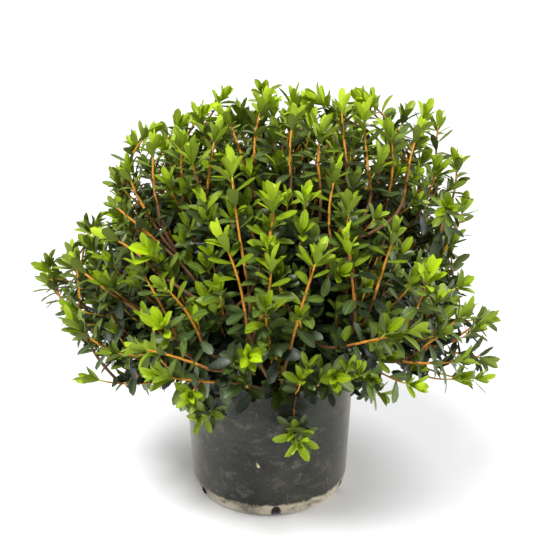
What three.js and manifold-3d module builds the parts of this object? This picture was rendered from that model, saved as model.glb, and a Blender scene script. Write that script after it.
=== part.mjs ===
// A potted azalea: a dense evergreen shrub with many upright shoots, in a thin round nursery pot.
// Millimetres, +Z up. The origin is the centre of the pot's flat underside, and -Y is the plant's front.
import * as THREE from 'three';
import { mergeVertices } from 'three/addons/utils/BufferGeometryUtils.js';
import { ConvexGeometry } from 'three/addons/geometries/ConvexGeometry.js';
import Module from 'manifold-3d';

const wasm = await Module();
wasm.setup();

// ---------------------------------------------------------------- driving dimensions
const clearance = 0.3; // between solids that touch

const pot = {
  height: 231,
  rimRadius: 140,
  footRadius: 131.8, // where the wall meets the rounded foot
  footHeight: 28,
  baseRadius: 119.5, // the flat underside
  wall: 2.2,
  floor: 3,
  beadWidth: 1.4, // the rim's bead stands this far proud of the wall
  beadHeight: 5,
  facets: 30,
};
const drain = { count: 6, width: 13, height: 22, firstAzimuth: -85, depth: 34 };
const soil = { edge: 206, crown: 211, flatRadius: 46, lump: 1.6 };

const trunk = {
  foot: [7, 9],
  top: [2, 3, 264],
  flare: 21,
  radius: 14,
  topRadius: 11.5,
};
const heart = new THREE.Vector3(0, 0, 300); // the crown's masses all face away from this point
const crown = {
  reach: 358, // from the heart to the leaf tips
  hem: 212, // the reach under the crown, where it hangs over the pot
  hemFrom: -10, // degrees above the horizon where the reach starts to fall, and where it is down to the hem
  hemTo: -22,
  bare: 132, // no leaf or shoot is nearer to the heart than this
};
// Where the hem is raised or lowered, all in degrees.
const hems = [
  { azimuth: -95, raised: 13, width: 42 },
  { azimuth: -10, raised: -9, width: 26 },
];
// Where the crown bulges or draws in: a direction and a half-width in degrees, and the change in reach.
const lobes = [
  { azimuth: -12, height: 55, gain: 62, width: 20 },
  { azimuth: -95, height: 76, gain: 14, width: 20 },
  { azimuth: -165, height: 58, gain: 26, width: 15 },
  { azimuth: -170, height: 27, gain: -52, width: 11 },
  { azimuth: -171, height: 14, gain: 34, width: 11 },
  { azimuth: -168, height: -6, gain: -36, width: 11 },
  { azimuth: -155, height: -21, gain: 12, width: 11 },
  { azimuth: -12, height: 19, gain: -40, width: 10 },
  { azimuth: -10, height: -12, gain: 24, width: 12 },
  { azimuth: 60, height: 22, gain: 14, width: 20 },
  { azimuth: 128, height: 40, gain: -16, width: 20 },
  { azimuth: 100, height: -4, gain: -14, width: 18 },
];
// The main limbs. Each of the masses that one carries has its turn from the limb and its height, in degrees.
const sectors = [
  { name: 'right', azimuth: -10, skirt: [-4, -13], shoulder: [4, 14], upper: [-4, 50] },
  { name: 'front_right', azimuth: -66, skirt: [-8, -24], shoulder: [6, 8], upper: [0, 44] },
  { name: 'front_left', azimuth: -124, skirt: [-4, -22], shoulder: [6, 9], upper: [-4, 45] },
  { name: 'left', azimuth: 176, skirt: [2, -15], shoulder: [10, 14], upper: [-2, 49] },
  { name: 'back_left', azimuth: 118, skirt: [4, -16], shoulder: [-6, 12], upper: [2, 46] },
  { name: 'back_right', azimuth: 56, skirt: [-6, -15], shoulder: [4, 13], upper: [4, 45] },
];
const topMass = { azimuth: -60, height: 84 };

const limb = { radius: 6.4, tipRadius: 4.2, lowest: 232, highest: 246 };
const bough = { radius: 4.2, tipRadius: 3.2, skirtFrom: 0.38, upperFrom: 0.6, overRim: 28 };
// A mass's own stem, which ends part of the way out to its leaves but is never shorter than this.
const stem = { radius: 3, tipRadius: 2.4, steps: 3, share: 0.48, shortest: 40 };
const shoots = {
  count: 102,
  lowest: -11, // degrees below the horizon
  uneven: 0.08, // the share of the reach that the shortest falls short by
  radius: 2.6,
  tipRadius: 2.1,
  steps: 2,
  rise: 0.62, // how far each turns up towards its end
  sharpest: 70, // degrees that one may turn through
  seed: 71,
};
// Shoots that hang: the direction of their leaf tips from the heart and the distance, how far they turn up or
// down towards the end, and the size of their leaves. The first three are in front of the pot.
const hanging = [
  { azimuth: -76, height: -38, reach: 237, rise: -1.5, leaves: 0.55 },
  { azimuth: -117, height: -25, reach: 226, rise: -0.5, leaves: 0.55 },
  { azimuth: -32, height: -26, reach: 222, rise: -0.4, leaves: 0.55 },
  { azimuth: -158, height: -20, reach: 252, rise: 0.2, leaves: 0.75 },
];
// Shoots that reach the furthest out, as azimuth and height in degrees.
const furthest = [
  [-10, -15],
  [-9, 1],
  [-171, 14],
  [-12, 54],
];
// Each leaf here stands for a spray, so it is longer and wider than a real one.
const leaf = {
  length: 80,
  width: 41,
  keel: 1.6,
  hub: 3,
  places: 5,
  lean: 50,
  leanSpread: 16,
  eased: [0, 14, 26], // degrees that a leaf may be drawn in by to find room
  stray: 0.08, // the share of its place around the shoot that a leaf may stray by
  ownPlace: 0.9, // and the share that its blade may fill
  shorter: 0.2, // the share that the shortest leaf is shorter by
  crossing: 6, // cubic millimetres that two leaves may share
};

// ---------------------------------------------------------------- small helpers
const golden = THREE.MathUtils.degToRad(137.508);
const up = new THREE.Vector3(0, 0, 1);

function seeded(seed) {
  let state = seed >>> 0;
  return () => {
    state = (Math.imul(state, 1664525) + 1013904223) >>> 0;
    return state / 4294967296;
  };
}

function facing(azimuth, height) {
  const a = THREE.MathUtils.degToRad(azimuth);
  const h = THREE.MathUtils.degToRad(height);
  return new THREE.Vector3(Math.cos(a) * Math.cos(h), Math.sin(a) * Math.cos(h), Math.sin(h));
}

// Degrees above the horizon, as if the crown's hem were level all round.
function heightOverHem(direction) {
  const azimuth = THREE.MathUtils.radToDeg(Math.atan2(direction.y, direction.x));
  let height = THREE.MathUtils.radToDeg(Math.asin(THREE.MathUtils.clamp(direction.z, -1, 1)));
  for (const hem of hems) {
    const away = THREE.MathUtils.euclideanModulo(azimuth - hem.azimuth + 180, 360) - 180;
    height -= hem.raised * Math.exp(-((away / hem.width) ** 2));
  }
  return height;
}

// The distance from the heart to the crown's outline along a direction.
function reachAlong(direction) {
  const fall = THREE.MathUtils.smoothstep(-heightOverHem(direction), -crown.hemFrom, -crown.hemTo);
  let reach = THREE.MathUtils.lerp(crown.reach, crown.hem, fall);
  for (const lobe of lobes) {
    const angle = THREE.MathUtils.radToDeg(direction.angleTo(facing(lobe.azimuth, lobe.height)));
    reach += lobe.gain * Math.exp(-((angle / lobe.width) ** 2));
  }
  return reach;
}

// Two directions square to a third, the same way round for every caller.
function squareTo(direction) {
  const side = new THREE.Vector3().crossVectors(up, direction);
  if (side.length() < 0.05) side.set(1, 0, 0);
  side.normalize();
  return [side, new THREE.Vector3().crossVectors(direction, side).normalize()];
}

function turned(direction, angle, round) {
  const [side, over] = squareTo(direction);
  return direction
    .clone()
    .multiplyScalar(Math.cos(angle))
    .addScaledVector(side, Math.sin(angle) * Math.cos(round))
    .addScaledVector(over, Math.sin(angle) * Math.sin(round))
    .normalize();
}

// ---------------------------------------------------------------- solids
function solidOf(geometry) {
  const bare = geometry.index ? geometry.toNonIndexed() : geometry.clone();
  bare.deleteAttribute('normal');
  bare.deleteAttribute('uv');
  const merged = mergeVertices(bare, 1e-4);
  return new wasm.Manifold(
    new wasm.Mesh({
      numProp: 3,
      vertProperties: new Float32Array(merged.attributes.position.array),
      triVerts: new Uint32Array(merged.index.array),
    }),
  );
}

function geometryOf(solid) {
  const mesh = solid.getMesh();
  const geometry = new THREE.BufferGeometry();
  geometry.setAttribute('position', new THREE.BufferAttribute(mesh.vertProperties.slice(), 3));
  geometry.setIndex(new THREE.BufferAttribute(mesh.triVerts.slice(), 1));
  geometry.computeVertexNormals();
  return geometry;
}

// A profile of [radius, height] points that starts and ends on the axis, turned about Z.
function turnedProfile(points) {
  const profile = points.map(([radius, height]) => new THREE.Vector2(radius, height));
  return new THREE.LatheGeometry(profile, pot.facets).rotateX(Math.PI / 2);
}

// A round limb that follows a curve, with its radius given by a function of the share along it.
function limbGeometry(curve, radiusAt, sides, steps) {
  const geometry = new THREE.CylinderGeometry(1, 1, 1, sides, steps);
  const frames = curve.computeFrenetFrames(steps, false);
  const place = geometry.attributes.position;
  for (let i = 0; i < place.count; i++) {
    const share = THREE.MathUtils.clamp(place.getY(i) + 0.5, 0, 1);
    const ring = Math.round(share * steps);
    const across = new THREE.Vector3()
      .addScaledVector(frames.normals[ring], place.getX(i) * radiusAt(share))
      .addScaledVector(frames.binormals[ring], -place.getZ(i) * radiusAt(share));
    const point = curve.getPoint(share).add(across);
    place.setXYZ(i, point.x, point.y, point.z);
  }
  return geometry;
}

// A point on the straight run between two rings of a limb, where its solid really is.
function onLimb(curve, share, steps) {
  const ring = Math.min(Math.floor(share * steps), steps - 1);
  const from = curve.getPoint(ring / steps);
  return from.lerp(curve.getPoint((ring + 1) / steps), share * steps - ring);
}

function tapered(from, to) {
  return (share) => THREE.MathUtils.lerp(from, to, share);
}

function limbSolid(curve, radiusAt, sides, steps) {
  return solidOf(limbGeometry(curve, radiusAt, sides, steps));
}

// ---------------------------------------------------------------- pot and soil
// The foot's rounded profile, drawn in by an inset from the outside and up from a base height.
function footArc(inset, base, steps) {
  const points = [];
  for (let i = 0; i <= steps; i++) {
    const turn = (i / steps) * (Math.PI / 2);
    const radius = pot.baseRadius + (pot.footRadius - pot.baseRadius) * Math.sin(turn) - inset;
    points.push([radius, base + (pot.footHeight - base) * (1 - Math.cos(turn))]);
  }
  return points;
}

function wallRadius(height) {
  const share = (height - pot.footHeight) / (pot.height - pot.footHeight);
  return THREE.MathUtils.lerp(pot.footRadius, pot.rimRadius, share);
}

function potSolid() {
  const beadFoot = pot.height - pot.beadHeight;
  const outside = [
    [0, 0],
    ...footArc(0, 0, 4),
    [wallRadius(beadFoot - pot.beadWidth), beadFoot - pot.beadWidth],
    [wallRadius(beadFoot) + pot.beadWidth, beadFoot],
    [pot.rimRadius + pot.beadWidth, pot.height - 1],
    [pot.rimRadius, pot.height],
  ];
  const inside = [
    [pot.rimRadius - pot.wall, pot.height],
    ...footArc(pot.wall, pot.floor, 4).reverse(),
    [0, pot.floor],
  ];
  let solid = solidOf(turnedProfile([...outside, ...inside]));
  for (let i = 0; i < drain.count; i++) {
    solid = solid.subtract(drainCutter(drain.firstAzimuth + (i * 360) / drain.count));
  }
  return solid;
}

// One arched hole that runs out through the foot and is open below.
function drainCutter(azimuth) {
  const half = drain.width / 2;
  const arch = new THREE.Shape();
  arch.moveTo(-half, -2);
  arch.lineTo(half, -2);
  arch.lineTo(half, drain.height - half);
  arch.absarc(0, drain.height - half, half, 0, Math.PI, false);
  arch.closePath();
  const cutter = new THREE.ExtrudeGeometry(arch, {
    depth: drain.depth,
    bevelEnabled: false,
    curveSegments: 4,
  });
  cutter.rotateX(Math.PI / 2);
  cutter.rotateZ(Math.PI / 2);
  cutter.translate(pot.baseRadius - 12, 0, 0);
  cutter.rotateZ(THREE.MathUtils.degToRad(azimuth));
  return solidOf(cutter);
}

function soilSolid() {
  const inset = pot.wall + 0.4;
  const base = pot.floor + 0.4;
  const rim = wallRadius(soil.edge) - inset;
  const profile = [
    [0, base],
    ...footArc(inset, base, 3),
    [rim, soil.edge],
    [rim * 0.7, soil.edge + 2],
    [soil.flatRadius, soil.crown],
    [0, soil.crown],
  ];
  const geometry = turnedProfile(profile);
  const place = geometry.attributes.position;
  for (let i = 0; i < place.count; i++) {
    const radius = Math.hypot(place.getX(i), place.getY(i));
    const onTop = place.getZ(i) > soil.edge + 0.5 && radius > soil.flatRadius + 1;
    if (!onTop) continue;
    const round = Math.atan2(place.getY(i), place.getX(i));
    const lump = Math.sin(5 * round + radius / 9) + Math.sin(9 * round - radius / 7);
    place.setZ(i, place.getZ(i) + (lump * soil.lump) / 2);
  }
  return solidOf(geometry);
}

// ---------------------------------------------------------------- trunk, limbs and boughs
const trunkCurve = new THREE.QuadraticBezierCurve3(
  new THREE.Vector3(trunk.foot[0], trunk.foot[1], soil.crown + clearance),
  new THREE.Vector3(trunk.foot[0], trunk.foot[1], soil.crown + 24),
  new THREE.Vector3(...trunk.top),
);

function trunkRadius(share) {
  const flare = (trunk.flare - trunk.radius) * Math.exp(-share * 7);
  return THREE.MathUtils.lerp(trunk.radius, trunk.topRadius, share) + flare;
}

function trunkPointAt(height) {
  const from = soil.crown + clearance;
  return trunkCurve.getPoint((height - from) / (trunk.top[2] - from));
}

// A curve from one point to another that leaves along one direction.
function bent(from, leaving, push, to) {
  return new THREE.QuadraticBezierCurve3(from, from.clone().addScaledVector(leaving, push), to);
}

// Where a bough ends and its mass begins, kept well above the pot's rim.
function massEntry(direction) {
  const inward = crown.bare - 4;
  const lowest = (pot.height + bough.overRim - heart.z) / inward;
  const toEntry = direction.clone();
  toEntry.z = Math.max(toEntry.z, lowest);
  return heart.clone().addScaledVector(toEntry.normalize(), inward);
}

// Every limb and bough, each with its curve and the mass that it ends in.
function limbPlan() {
  const limbs = [];
  const masses = [];
  sectors.forEach((sector, i) => {
    const place = (part) => facing(sector.azimuth + sector[part][0], sector[part][1]);
    const height = i % 2 ? limb.highest : limb.lowest;
    const start = trunkPointAt(height);
    const shoulder = place('shoulder');
    const main = bent(start, facing(sector.azimuth, 34), 58, massEntry(shoulder));
    limbs.push({ name: `limb_${sector.name}`, curve: main, parent: 'trunk', ...limb, sides: 7 });
    masses.push({ name: `foliage_${sector.name}_shoulder`, axis: shoulder, limb: `limb_${sector.name}` });
    const skirt = place('skirt');
    const low = main.getPoint(bough.skirtFrom);
    limbs.push({
      name: `bough_${sector.name}_skirt`,
      curve: bent(low, facing(sector.azimuth + 2 * sector.skirt[0], 14), 42, massEntry(skirt)),
      parent: `limb_${sector.name}`,
      ...bough,
      sides: 5,
    });
    masses.push({ name: `foliage_${sector.name}_skirt`, axis: skirt, limb: `bough_${sector.name}_skirt` });
    const upper = place('upper');
    const high = main.getPoint(bough.upperFrom);
    limbs.push({
      name: `bough_${sector.name}_upper`,
      curve: bent(high, facing(sector.azimuth, 70), 46, massEntry(upper)),
      parent: `limb_${sector.name}`,
      ...bough,
      sides: 5,
    });
    masses.push({ name: `foliage_${sector.name}_upper`, axis: upper, limb: `bough_${sector.name}_upper` });
  });
  const axis = facing(topMass.azimuth, topMass.height);
  const start = new THREE.Vector3(...trunk.top).addScaledVector(trunkCurve.getTangent(1), clearance);
  limbs.push({
    name: 'limb_leader',
    curve: bent(start, trunkCurve.getTangent(1), 60, massEntry(axis)),
    parent: null,
    ...limb,
    sides: 7,
  });
  masses.push({ name: 'foliage_top', axis, limb: 'limb_leader' });
  return { limbs, masses };
}

// ---------------------------------------------------------------- foliage
// Points spread along every line between some corners.
function pointsBetween(corners) {
  const points = [];
  corners.forEach((from, i) => {
    for (const to of corners.slice(i + 1)) {
      for (let k = 0; k <= 5; k++) points.push(from.clone().lerp(to, k / 5));
    }
  });
  return points;
}

// True where every point is in the mass's own space: clear of its neighbours, the bare heart and the pot.
function fits(points, mass, masses, margin) {
  return points.every((point) => {
    const overPot = Math.hypot(point.x, point.y) < pot.rimRadius + pot.beadWidth + margin;
    if (overPot && point.z < pot.height + margin) return false;
    const from = point.clone().sub(heart);
    if (from.length() < crown.bare + margin) return false;
    return masses.every((other) => {
      if (other === mass) return true;
      const apart = mass.axis.clone().sub(other.axis);
      return from.dot(apart) / apart.length() > margin;
    });
  });
}

// The ends of the shoots, evenly spread on a spiral from the crown's top to its hem, and those set by hand.
function shootEnds() {
  const random = seeded(shoots.seed);
  const lowest = Math.sin(THREE.MathUtils.degToRad(shoots.lowest));
  const ends = [];
  for (let i = 0; i < shoots.count; i++) {
    const z = THREE.MathUtils.lerp(1, lowest, (i + 0.5) / shoots.count);
    const level = Math.sqrt(1 - z * z);
    const direction = new THREE.Vector3(Math.cos(i * golden) * level, Math.sin(i * golden) * level, z);
    const reach = reachAlong(direction) * (1 - shoots.uneven * random());
    if (heightOverHem(direction) > crown.hemTo) ends.push({ direction, reach, rise: shoots.rise, leaves: 1 });
  }
  for (const [azimuth, height] of furthest) {
    const direction = facing(azimuth, height);
    ends.push({ direction, reach: reachAlong(direction), rise: shoots.rise, leaves: 1 });
  }
  for (const one of hanging) ends.push({ direction: facing(one.azimuth, one.height), ...one });
  return ends;
}

// A shoot that rises towards its end, where its furthest leaf just meets the crown's outline.
function shootCurve(from, end, ease) {
  const arriving = end.direction.clone().addScaledVector(up, end.rise * ease).normalize();
  const lean = THREE.MathUtils.degToRad(leaf.lean) - arriving.angleTo(end.direction);
  const leavesOut = leaf.length * end.leaves * (1 - leaf.shorter / 2) * Math.cos(Math.max(lean, 0));
  const tip = heart.clone().addScaledVector(end.direction, end.reach - leavesOut);
  const bend = tip.clone().addScaledVector(arriving, -tip.distanceTo(from) * 0.45);
  return new THREE.QuadraticBezierCurve3(from, bend, tip);
}

// The stem of a mass, and a shoot from it to each of the ends that are nearest to the mass's own axis.
function growShoots(mass, masses) {
  const start = mass.tip.clone().addScaledVector(mass.tipTangent, clearance);
  const out = THREE.MathUtils.lerp(crown.bare, reachAlong(mass.axis) - leaf.length * 0.7, stem.share);
  const stemEnd = heart.clone().addScaledVector(mass.axis, Math.max(out, crown.bare + stem.shortest));
  const stemCurve = bent(start, mass.tipTangent, start.distanceTo(stemEnd) * 0.4, stemEnd);
  const grown = [];
  const outwards = mass.ends.slice().sort((a, b) => a.direction.dot(mass.axis) - b.direction.dot(mass.axis));
  outwards.forEach((end, rank) => {
    const share = THREE.MathUtils.lerp(0.2, 0.95, (rank + 1) / outwards.length);
    const from = onLimb(stemCurve, share, stem.steps);
    const curve = [1, 0.5, 0.2, -0.2]
      .map((ease) => shootCurve(from, end, ease))
      .find((tried) => {
        const through = THREE.MathUtils.radToDeg(tried.getTangent(0).angleTo(tried.getTangent(1)));
        const run = [0.15, 0.3, 0.4, 0.5, 0.6, 0.7, 0.85, 1].map((part) => onLimb(tried, part, shoots.steps));
        return through < shoots.sharpest && fits(run, mass, masses, shoots.radius + 1.5);
      });
    if (curve) grown.push({ curve, leaves: end.leaves });
  });
  return { stemCurve, grown };
}

// The five outer corners of a leaf that is widest past its middle: right twice, tip, left twice. A leaf that
// stands very upright is narrower, so that it stays out of the next one's place around the shoot.
function leafCorners(shoot, round, lean, scale) {
  const along = turned(shoot.axis, lean, round);
  const side = new THREE.Vector3().crossVectors(along, shoot.axis).normalize();
  const below = new THREE.Vector3().crossVectors(along, side).normalize();
  const outline = [
    [0.4, 0.64, 0],
    [0.74, 1, 0],
    [1, 0, leaf.keel],
    [0.74, -1, 0],
    [0.4, -0.64, 0],
  ];
  return outline.map(([share, across, drop]) => {
    const out = leaf.length * scale * share;
    const widest = out * Math.sin(lean) * Math.tan((Math.PI / leaf.places) * leaf.ownPlace);
    const half = Math.min((leaf.width * scale * Math.abs(across)) / 2, widest);
    return shoot.end
      .clone()
      .addScaledVector(along, out)
      .addScaledVector(side, Math.sign(across) * half)
      .addScaledVector(below, drop);
  });
}

// One leaf, or none, for each place around the end of a shoot. A leaf without room is drawn in towards the
// shoot, and left out where it would still leave its space or cross what has already grown.
function whorlLeaves(shoot, random, hasRoom) {
  const places = [];
  for (let i = 0; i < leaf.places; i++) {
    const round = shoot.turn + ((i + leaf.stray * (random() - 0.5)) * Math.PI * 2) / leaf.places;
    const lean = leaf.lean + leaf.leanSpread * (random() - 0.5);
    const scale = shoot.leaves * (1 - leaf.shorter * random());
    const fitting = leaf.eased
      .map((ease) => leafCorners(shoot, round, THREE.MathUtils.degToRad(lean - ease), scale))
      .find(hasRoom);
    places.push(fitting ?? null);
  }
  return places;
}

function crosses(corners, solid) {
  return solid.intersect(solidOf(new ConvexGeometry(corners))).volume() > leaf.crossing;
}

// A ring of points around a curve, square to it and turned the same way as the shoot's end.
function ringAround(shoot, share, radius, turn) {
  const tangent = shoot.curve.getTangent(share);
  const swing = new THREE.Quaternion().setFromUnitVectors(shoot.axis, tangent);
  const centre = shoot.curve.getPoint(share);
  const ring = [];
  for (let i = 0; i < leaf.places; i++) {
    const out = turned(shoot.axis, Math.PI / 2, turn + (i * Math.PI * 2) / leaf.places);
    ring.push(centre.clone().addScaledVector(out.applyQuaternion(swing), radius));
  }
  return ring;
}

// A tapering shoot and the whorl at its end, as one closed body. A place without a leaf is null.
function shootGeometry(shoot, places) {
  const sides = leaf.places;
  const half = Math.PI / sides;
  const points = [];
  const faces = [];
  for (let k = 0; k <= shoot.steps; k++) {
    const share = k === shoot.steps ? 1 - leaf.hub / shoot.curve.getLength() : k / shoot.steps;
    const radius = THREE.MathUtils.lerp(shoot.radius, shoot.tipRadius, share);
    points.push(...ringAround(shoot, share, radius, shoot.turn));
  }
  points.push(...ringAround(shoot, 1, leaf.hub, shoot.turn - half));
  points.push(shoot.end.clone().addScaledVector(shoot.axis, leaf.hub * 0.8));
  const keels = shoot.steps * sides;
  const notches = keels + sides;
  const top = notches + sides;
  for (let i = 1; i < sides - 1; i++) faces.push([0, i + 1, i]);
  for (let i = 0; i < sides; i++) {
    const next = (i + 1) % sides;
    for (let low = 0; low < keels; low += sides) {
      faces.push([low + i, low + next, low + sides + next], [low + i, low + sides + next, low + sides + i]);
    }
    const [keel, before, after] = [keels + i, notches + i, notches + next];
    faces.push([keel, keels + next, after]);
    if (!places[i]) {
      faces.push([keel, after, before], [top, before, after]);
      continue;
    }
    const [near1, far1, tip, far2, near2] = [0, 1, 2, 3, 4].map((k) => points.length + k);
    points.push(...places[i]);
    faces.push([top, before, near1], [top, near1, near2], [top, near2, after]);
    faces.push([near1, far1, far2], [near1, far2, near2], [far1, tip, far2]);
    faces.push([keel, near1, before], [keel, far1, near1], [keel, tip, far1]);
    faces.push([keel, far2, tip], [keel, near2, far2], [keel, after, near2]);
  }
  const geometry = new THREE.BufferGeometry();
  geometry.setAttribute('position', new THREE.Float32BufferAttribute(points.flatMap((p) => p.toArray()), 3));
  return geometry.setIndex(faces.flat());
}

function foliageSolid(mass, index, masses) {
  const { stemCurve, grown } = growShoots(mass, masses);
  const random = seeded(shoots.seed * 7 + index * 31);
  let solid = limbSolid(stemCurve, tapered(stem.radius, stem.tipRadius), 5, stem.steps);
  for (const { curve, leaves } of grown) {
    const tip = { end: curve.getPoint(1), axis: curve.getTangent(1), turn: random() * 2 };
    const shoot = { ...shoots, ...tip, curve, leaves };
    const places = whorlLeaves(shoot, random, (corners) => {
      return fits(pointsBetween([shoot.end, ...corners]), mass, masses, 1) && !crosses(corners, solid);
    });
    if (places.some((corners) => corners)) solid = solid.add(solidOf(shootGeometry(shoot, places)));
  }
  return solid;
}

// ---------------------------------------------------------------- assembly
const materials = {
  pot: new THREE.MeshStandardMaterial({ color: 0x38383a, roughness: 0.62, metalness: 0 }),
  soil: new THREE.MeshStandardMaterial({ color: 0x2a2019, roughness: 0.95, metalness: 0 }),
  bark: new THREE.MeshStandardMaterial({ color: 0x6b4a33, roughness: 0.85, metalness: 0 }),
  foliage: new THREE.MeshStandardMaterial({ color: 0x4e7a1e, roughness: 0.5, metalness: 0 }),
};

const plant = new THREE.Group();

function place(name, solid, material) {
  const mesh = new THREE.Mesh(geometryOf(solid), material);
  mesh.name = name;
  plant.add(mesh);
}

place('pot', potSolid(), materials.pot);
place('soil', soilSolid(), materials.soil);
place('trunk', limbSolid(trunkCurve, trunkRadius, 12, 6), materials.bark);

const { limbs, masses } = limbPlan();
const thickTrunk = limbSolid(trunkCurve, (share) => trunkRadius(share) + clearance, 12, 6);
const thickened = new Map([['trunk', thickTrunk]]);
for (const item of limbs) {
  const steps = item.sides === 7 ? 5 : 4;
  thickened.set(
    item.name,
    limbSolid(item.curve, tapered(item.radius + clearance, item.tipRadius + clearance), item.sides, steps),
  );
  let solid = limbSolid(item.curve, tapered(item.radius, item.tipRadius), item.sides, steps);
  if (item.parent) solid = solid.subtract(thickened.get(item.parent));
  place(item.name, solid, materials.bark);
}

masses.forEach((mass) => {
  const carrier = limbs.find((item) => item.name === mass.limb).curve;
  mass.ends = [];
  mass.tip = carrier.getPoint(1);
  mass.tipTangent = carrier.getTangent(1);
});
for (const end of shootEnds()) {
  const nearest = masses.reduce((best, mass) =>
    mass.axis.dot(end.direction) > best.axis.dot(end.direction) ? mass : best,
  );
  nearest.ends.push(end);
}
masses.forEach((mass, index) => {
  place(mass.name, foliageSolid(mass, index, masses), materials.foliage);
});

export default plant;
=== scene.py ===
import math

import bmesh
import bpy
import numpy as np
from mathutils import Matrix, Vector, noise


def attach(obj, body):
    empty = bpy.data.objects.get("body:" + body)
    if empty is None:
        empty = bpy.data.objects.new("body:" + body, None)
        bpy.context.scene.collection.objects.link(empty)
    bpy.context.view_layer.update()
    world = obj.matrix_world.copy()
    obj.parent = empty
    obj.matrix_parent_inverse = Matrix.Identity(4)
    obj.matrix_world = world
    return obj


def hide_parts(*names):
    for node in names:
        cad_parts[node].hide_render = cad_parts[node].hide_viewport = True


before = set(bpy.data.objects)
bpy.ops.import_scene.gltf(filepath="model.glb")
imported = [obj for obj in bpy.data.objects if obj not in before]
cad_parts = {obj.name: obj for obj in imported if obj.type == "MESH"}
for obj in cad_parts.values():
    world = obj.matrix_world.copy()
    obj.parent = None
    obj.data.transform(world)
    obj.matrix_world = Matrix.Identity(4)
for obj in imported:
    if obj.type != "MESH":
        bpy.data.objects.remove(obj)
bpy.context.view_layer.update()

# A potted azalea, in metres. The centre of the pot's underside is the origin, and -Y is the plant's front.
up = Vector((0, 0, 1))
golden = math.radians(137.508)

crown = {
    "heart": Vector((0, 0, 0.300)),  # every mass of leaves faces away from this point
    "reach": 0.358,  # from the heart to the leaf tips
    "hem": 0.212,  # the reach where the leaves hang over the pot
    "hemFrom": -10,  # degrees above the horizon where the reach starts to fall
    "hemTo": -22,
    "bare": 0.132,  # no leaf is nearer to the heart than this
}
# where the hem is raised or lowered, all in degrees
hems = [
    {"azimuth": -95, "raised": 13, "width": 42},
    {"azimuth": -10, "raised": -9, "width": 26},
]
# where the outline bulges: azimuth and height in degrees, how far in metres, and the half-width in degrees
lobes = [
    (-12, 55, 0.062, 20),
    (-95, 76, 0.014, 20),
    (-165, 58, 0.026, 15),
    (-170, 27, -0.052, 11),
    (-171, 14, 0.034, 11),
    (-168, -6, -0.036, 11),
    (-155, -21, 0.012, 11),
    (-12, 19, -0.040, 10),
    (-10, -12, 0.024, 12),
    (60, 22, 0.014, 20),
    (128, 40, -0.016, 20),
    (100, -4, -0.014, 18),
]
# each main limb, and the turn and height in degrees of the masses that it carries
sectors = [
    {"name": "right", "azimuth": -10, "skirt": (-4, -13), "shoulder": (4, 14), "upper": (-4, 50)},
    {"name": "front_right", "azimuth": -66, "skirt": (-8, -24), "shoulder": (6, 8), "upper": (0, 44)},
    {"name": "front_left", "azimuth": -124, "skirt": (-4, -22), "shoulder": (6, 9), "upper": (-4, 45)},
    {"name": "left", "azimuth": 176, "skirt": (2, -15), "shoulder": (10, 14), "upper": (-2, 49)},
    {"name": "back_left", "azimuth": 118, "skirt": (4, -16), "shoulder": (-6, 12), "upper": (2, 46)},
    {"name": "back_right", "azimuth": 56, "skirt": (-6, -15), "shoulder": (4, 13), "upper": (4, 45)},
]
topMass = {"azimuth": -60, "height": 84}


# small helpers
def seeded(seed):
    state = [seed]

    def draw():
        state[0] = (state[0] * 1664525 + 1013904223) % 4294967296
        return state[0] / 4294967296

    return draw


def mix(low, high, share):
    return low + (high - low) * share


def clamp(value, low, high):
    return max(low, min(high, value))


def smoothStep(value, low, high):
    share = clamp((value - low) / (high - low), 0, 1)
    return share * share * (3 - 2 * share)


def facing(azimuth, height):
    a, h = math.radians(azimuth), math.radians(height)
    return Vector((math.cos(a) * math.cos(h), math.sin(a) * math.cos(h), math.sin(h)))


def azimuthOf(point):
    return math.degrees(math.atan2(point.y, point.x))


def bell(away, width):
    return math.exp(-((away / width) ** 2))


def bellAround(azimuth, middle, width):
    return bell((azimuth - middle + 180) % 360 - 180, width)


def heightOverHem(direction):
    # degrees above the horizon, as if the hem were level all round
    height = math.degrees(math.asin(clamp(direction.z, -1, 1)))
    azimuth = azimuthOf(direction)
    for hem in hems:
        height -= hem["raised"] * bellAround(azimuth, hem["azimuth"], hem["width"])
    return height


def reachAlong(direction):
    # from the heart to the outline of the crown
    fall = smoothStep(-heightOverHem(direction), -crown["hemFrom"], -crown["hemTo"])
    reach = mix(crown["reach"], crown["hem"], fall)
    for azimuth, height, gain, width in lobes:
        reach += gain * bell(math.degrees(direction.angle(facing(azimuth, height))), width)
    return reach


def turned(direction, angle, spin):
    side = up.cross(direction)
    side = side.normalized() if side.length > 0.05 else Vector((1, 0, 0))
    over = direction.cross(side).normalized()
    across = side * math.cos(spin) + over * math.sin(spin)
    return (direction * math.cos(angle) + across * math.sin(angle)).normalized()


# a curve is its start, its bend and its end
def bent(start, leaving, push, end):
    return (start, start + leaving * push, end)


def pointOn(curve, share):
    a, b, c = curve
    return a * (1 - share) ** 2 + b * (2 * share * (1 - share)) + c * share**2


def tangentOn(curve, share):
    a, b, c = curve
    return ((b - a) * (1 - share) + (c - b) * share).normalized()


def lengthOf(curve):
    points = [pointOn(curve, k / 12) for k in range(13)]
    return sum((b - a).length for a, b in zip(points, points[1:]))


def spiral(index, count, lowest, spin):
    # directions spread evenly from straight up down to the lowest
    z = mix(1, lowest, (index + 0.5) / count)
    level = math.sqrt(1 - z * z)
    return Vector((math.cos(spin) * level, math.sin(spin) * level, z))


def onLimb(curve, share, steps):
    # a point on the straight run between two of a limb's rings
    ring = min(int(share * steps), steps - 1)
    return pointOn(curve, ring / steps).lerp(pointOn(curve, (ring + 1) / steps), share * steps - ring)


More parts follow.
